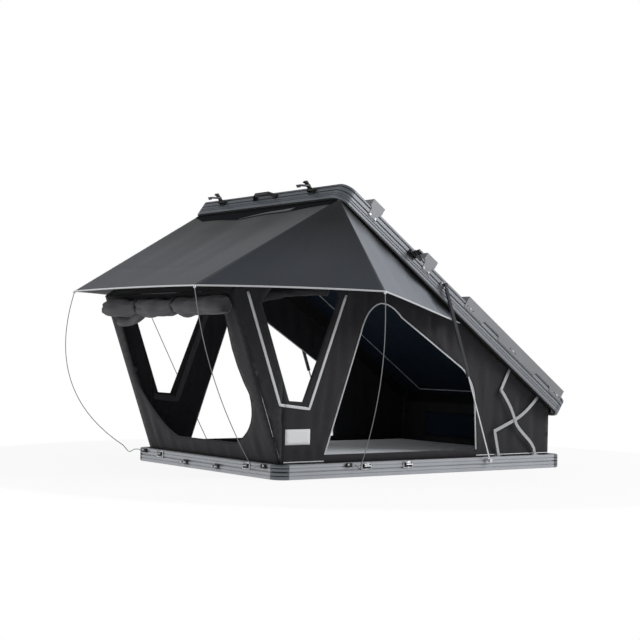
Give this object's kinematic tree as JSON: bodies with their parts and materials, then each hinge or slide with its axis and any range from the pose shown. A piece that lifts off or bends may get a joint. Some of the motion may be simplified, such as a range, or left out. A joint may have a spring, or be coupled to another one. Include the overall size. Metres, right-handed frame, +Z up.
{
  "type": "roof top tent",
  "caption": "Hard shell roof top tent, open: ribbed metal tray and tilted lid on crossed-arm hinges, with canvas walls, front hoop, awning on spring rods, latches and a roof rack.",
  "frame": {"origin": "centre of the base underside, on the middle mount rail", "axes": "-X towards the open front, +X towards the hinge end, +Z up"},
  "size_m": [2.6676, 2.5048, 1.647],
  "materials": {
    "rail_metal": "satin, ribbed",
    "corner_metal": "dark cast",
    "sheet_metal": "satin sheet",
    "skin_metal": "satin sheet",
    "bright_steel": "plated",
    "black_metal": "satin black",
    "black_plastic": "matte",
    "seal_rubber": "matte",
    "floor_board": "dark film",
    "lining": "padded lining",
    "pad_cover": "woven cover",
    "awning_cloth": "coated cloth, slight sheen",
    "wall_canvas": "woven canvas"
  },
  "bodies": {
    "hinge_arms_base": {"hinge_arms_base": "bright_steel"},
    "hinge_arms_lid": {"hinge_arms_lid": "bright_steel"},
    "hinge_links_base": {"hinge_links_base": "bright_steel"},
    "hinge_links_lid": {"hinge_links_lid": "bright_steel"},
    "strut_cylinders": {"strut_cylinders": "black_metal"},
    "strut_rods": {"strut_rods": "bright_steel"},
    "awning_front": {"awning_front": "awning_cloth"},
    "awning_corner_right": {"awning_corner_right": "awning_cloth"},
    "awning_corner_left": {"awning_corner_left": "awning_cloth"},
    "awning_side_right": {"awning_side_right": "awning_cloth"},
    "awning_side_left": {"awning_side_left": "awning_cloth"},
    "rod_front_right": {"rod_front_right": "bright_steel"},
    "rod_front_left": {"rod_front_left": "bright_steel"},
    "rod_side_right": {"rod_side_right": "bright_steel"},
    "rod_side_left": {"rod_side_left": "bright_steel"},
    "latch_lever_front_right": {"latch_lever_front_right": "black_metal"},
    "latch_lever_front_left": {"latch_lever_front_left": "black_metal"},
    "latch_lever_side_right": {"latch_lever_side_right": "black_metal"},
    "latch_lever_side_left": {"latch_lever_side_left": "black_metal"},
    "latch_bail_front_right": {"latch_bail_front_right": "bright_steel"},
    "latch_bail_front_left": {"latch_bail_front_left": "bright_steel"},
    "latch_bail_side_right": {"latch_bail_side_right": "bright_steel"},
    "latch_bail_side_left": {"latch_bail_side_left": "bright_steel"},
    "hoop_lower": {"hoop_lower": "black_metal", "wall_front": "wall_canvas", "front_corners": "wall_canvas"},
    "hoop_upper": {"hoop_upper": "black_metal", "door_roll": "wall_canvas"},
    "base": {"base_end_rails": "rail_metal", "base_side_rails": "rail_metal", "base_corners": "corner_metal", "floor_panel": "floor_board", "mount_rails": "rail_metal", "base_strips": "black_plastic", "mattress": "pad_cover", "latch_keepers": "bright_steel", "rod_sockets": "black_plastic", "ladder_hooks": "bright_steel", "strut_feet": "bright_steel", "hinge_base_plates": "bright_steel", "hoop_brackets": "bright_steel", "wall_right": "wall_canvas", "wall_left": "wall_canvas", "wall_rear": "wall_canvas"},
    "lid": {"lid_end_rails": "rail_metal", "lid_side_rails": "rail_metal", "lid_corners": "corner_metal", "lid_skin": "skin_metal", "ceiling": "lining", "lid_seal": "seal_rubber", "lid_strips": "black_plastic", "crossbar_front": "sheet_metal", "crossbar_middle": "sheet_metal", "rack_sides": "sheet_metal", "rack_slats": "sheet_metal", "lid_handle": "black_metal", "latch_plates": "black_metal", "strut_heads": "bright_steel", "hinge_lid_plates": "bright_steel", "lid_bolts": "bright_steel"}
  },
  "joints": [
    {"name": "lid_hinge", "type": "hinge", "parent": "base", "child": "lid", "pos_m": [1.42398, 0, 0.21653], "axis": [0, -1, 0], "range_deg": [0, 35], "stiffness_Nm_per_rad": 300, "springref_deg": -103.13, "deforming": ["wall_right", "wall_left", "wall_rear", "wall_front", "front_corners", "door_roll", "awning_front", "awning_corner_right", "awning_corner_left", "awning_side_right", "awning_side_left"]},
    {"name": "hinge_arm_base_pivot", "type": "hinge", "parent": "base", "child": "hinge_arms_base", "pos_m": [0.87, 0, 0.088], "axis": [0, -1, 0], "range_deg": [0, 47.49]},
    {"name": "hinge_arm_lid_pivot", "type": "hinge", "parent": "lid", "child": "hinge_arms_lid", "pos_m": [0.91367, 0, 0.45357], "axis": [0, -1, 0], "range_deg": [-68.86, 0]},
    {"name": "hinge_link_base_pivot", "type": "hinge", "parent": "base", "child": "hinge_links_base", "pos_m": [0.57371, 0, 0.088], "axis": [0, -1, 0], "range_deg": [0, 56.51]},
    {"name": "hinge_link_lid_pivot", "type": "hinge", "parent": "lid", "child": "hinge_links_lid", "pos_m": [0.6718, 0, 0.62537], "axis": [0, -1, 0], "range_deg": [-103.05, 0]},
    {"name": "strut_pivot", "type": "hinge", "parent": "lid", "child": "strut_cylinders", "pos_m": [0.06086, 0, 1.08367], "axis": [0, -1, 0], "range_deg": [0, 27.86]},
    {"name": "strut_stroke", "type": "slide", "parent": "strut_cylinders", "child": "strut_rods", "axis": [-0.3431, 0, 0.9393], "range_m": [0, 0.45919]},
    {"name": "hoop_pivot", "type": "hinge", "parent": "base", "child": "hoop_lower", "pos_m": [-0.974, 0, 0.118], "axis": [0, -1, 0], "range_deg": [-112.2, 0]},
    {"name": "hoop_slide", "type": "slide", "parent": "hoop_lower", "child": "hoop_upper", "axis": [0.3697, 0, -0.9291], "range_m": [0, 0.40612]},
    {"name": "awning_front_fold", "type": "hinge", "parent": "lid", "child": "awning_front", "pos_m": [-0.67776, 0, 1.52121], "axis": [0, -1, 0], "range_deg": [0, 118.58]},
    {"name": "awning_corner_right_fold", "type": "hinge", "parent": "awning_front", "child": "awning_corner_right", "pos_m": [-0.67776, -0.741, 1.52121], "axis": [-0.8651, 0.0612, -0.4978], "range_deg": [-140.7, 0]},
    {"name": "awning_side_right_fold", "type": "hinge", "parent": "lid", "child": "awning_side_right", "pos_m": [-0.67776, -0.741, 1.52121], "axis": [0.8187, 0.0317, -0.5733], "range_deg": [0, 136.8]},
    {"name": "awning_corner_left_fold", "type": "hinge", "parent": "awning_front", "child": "awning_corner_left", "pos_m": [-0.67776, 0.741, 1.52121], "axis": [-0.8651, -0.0612, -0.4978], "range_deg": [0, 140.7]},
    {"name": "awning_side_left_fold", "type": "hinge", "parent": "lid", "child": "awning_side_left", "pos_m": [-0.67776, 0.741, 1.52121], "axis": [0.8187, -0.0317, -0.5733], "range_deg": [-136.8, 0]},
    {"name": "rod_front_right_turn", "type": "hinge", "parent": "base", "child": "rod_front_right", "pos_m": [-1.079, -0.64, 0.068], "axis": [0, -1, 0], "range_deg": [0, 50]},
    {"name": "rod_side_right_turn", "type": "hinge", "parent": "base", "child": "rod_side_right", "pos_m": [-0.603, -0.774, 0.068], "axis": [1, 0, 0], "range_deg": [0, 50]},
    {"name": "rod_front_left_turn", "type": "hinge", "parent": "base", "child": "rod_front_left", "pos_m": [-1.079, 0.64, 0.068], "axis": [0, -1, 0], "range_deg": [0, 50]},
    {"name": "rod_side_left_turn", "type": "hinge", "parent": "base", "child": "rod_side_left", "pos_m": [-0.603, 0.774, 0.068], "axis": [-1, 0, 0], "range_deg": [0, 50]},
    {"name": "latch_front_right_lever", "type": "hinge", "parent": "lid", "child": "latch_lever_front_right", "pos_m": [-0.67089, -0.465, 1.59727], "axis": [0, -1, 0], "range_deg": [0, 87]},
    {"name": "latch_front_right_bail", "type": "hinge", "parent": "latch_lever_front_right", "child": "latch_bail_front_right", "pos_m": [-0.69017, -0.465, 1.62025], "axis": [0, -1, 0], "range_deg": [-35.3, 0]},
    {"name": "latch_front_left_lever", "type": "hinge", "parent": "lid", "child": "latch_lever_front_left", "pos_m": [-0.67089, 0.465, 1.59727], "axis": [0, -1, 0], "range_deg": [0, 87]},
    {"name": "latch_front_left_bail", "type": "hinge", "parent": "latch_lever_front_left", "child": "latch_bail_front_left", "pos_m": [-0.69017, 0.465, 1.62025], "axis": [0, -1, 0], "range_deg": [-35.3, 0]},
    {"name": "latch_side_right_lever", "type": "hinge", "parent": "lid", "child": "latch_lever_side_right", "pos_m": [-0.17367, -0.779, 1.24911], "axis": [0.8192, 0, -0.5736], "range_deg": [0, 87]},
    {"name": "latch_side_right_bail", "type": "hinge", "parent": "latch_lever_side_right", "child": "latch_bail_side_right", "pos_m": [-0.16921, -0.80798, 1.25547], "axis": [0.8192, 0, -0.5736], "range_deg": [-35.3, 0]},
    {"name": "latch_side_left_lever", "type": "hinge", "parent": "lid", "child": "latch_lever_side_left", "pos_m": [-0.17367, 0.779, 1.24911], "axis": [-0.8192, 0, 0.5736], "range_deg": [0, 87]},
    {"name": "latch_side_left_bail", "type": "hinge", "parent": "latch_lever_side_left", "child": "latch_bail_side_left", "pos_m": [-0.16921, 0.80798, 1.25547], "axis": [-0.8192, 0, 0.5736], "range_deg": [-35.3, 0]}
  ],
  "couplings": [
    {"joint": "hinge_arm_base_pivot", "follows": "lid_hinge", "ratio": 1.3425},
    {"joint": "hinge_arm_lid_pivot", "follows": "lid_hinge", "ratio": -1.9532},
    {"joint": "hinge_link_base_pivot", "follows": "lid_hinge", "ratio": 1.6001},
    {"joint": "hinge_link_lid_pivot", "follows": "lid_hinge", "ratio": -2.93},
    {"joint": "strut_pivot", "follows": "lid_hinge", "ratio": 0.78171},
    {"joint": "strut_stroke", "follows": "lid_hinge", "m_per_rad": 0.75006},
    {"joint": "hoop_pivot", "follows": "lid_hinge", "ratio": -3.1914},
    {"joint": "hoop_slide", "follows": "lid_hinge", "m_per_rad": 0.66319},
    {"joint": "awning_front_fold", "follows": "lid_hinge", "ratio": 3.3738},
    {"joint": "awning_corner_right_fold", "follows": "lid_hinge", "ratio": -4.0057},
    {"joint": "awning_side_right_fold", "follows": "lid_hinge", "ratio": 3.8943},
    {"joint": "awning_corner_left_fold", "follows": "lid_hinge", "ratio": 4.0057},
    {"joint": "awning_side_left_fold", "follows": "lid_hinge", "ratio": -3.8943},
    {"joint": "latch_front_right_bail", "follows": "latch_front_right_lever", "ratio": -0.4},
    {"joint": "latch_front_left_bail", "follows": "latch_front_left_lever", "ratio": -0.4},
    {"joint": "latch_side_right_bail", "follows": "latch_side_right_lever", "ratio": -0.4},
    {"joint": "latch_side_left_bail", "follows": "latch_side_left_lever", "ratio": -0.4}
  ]
}
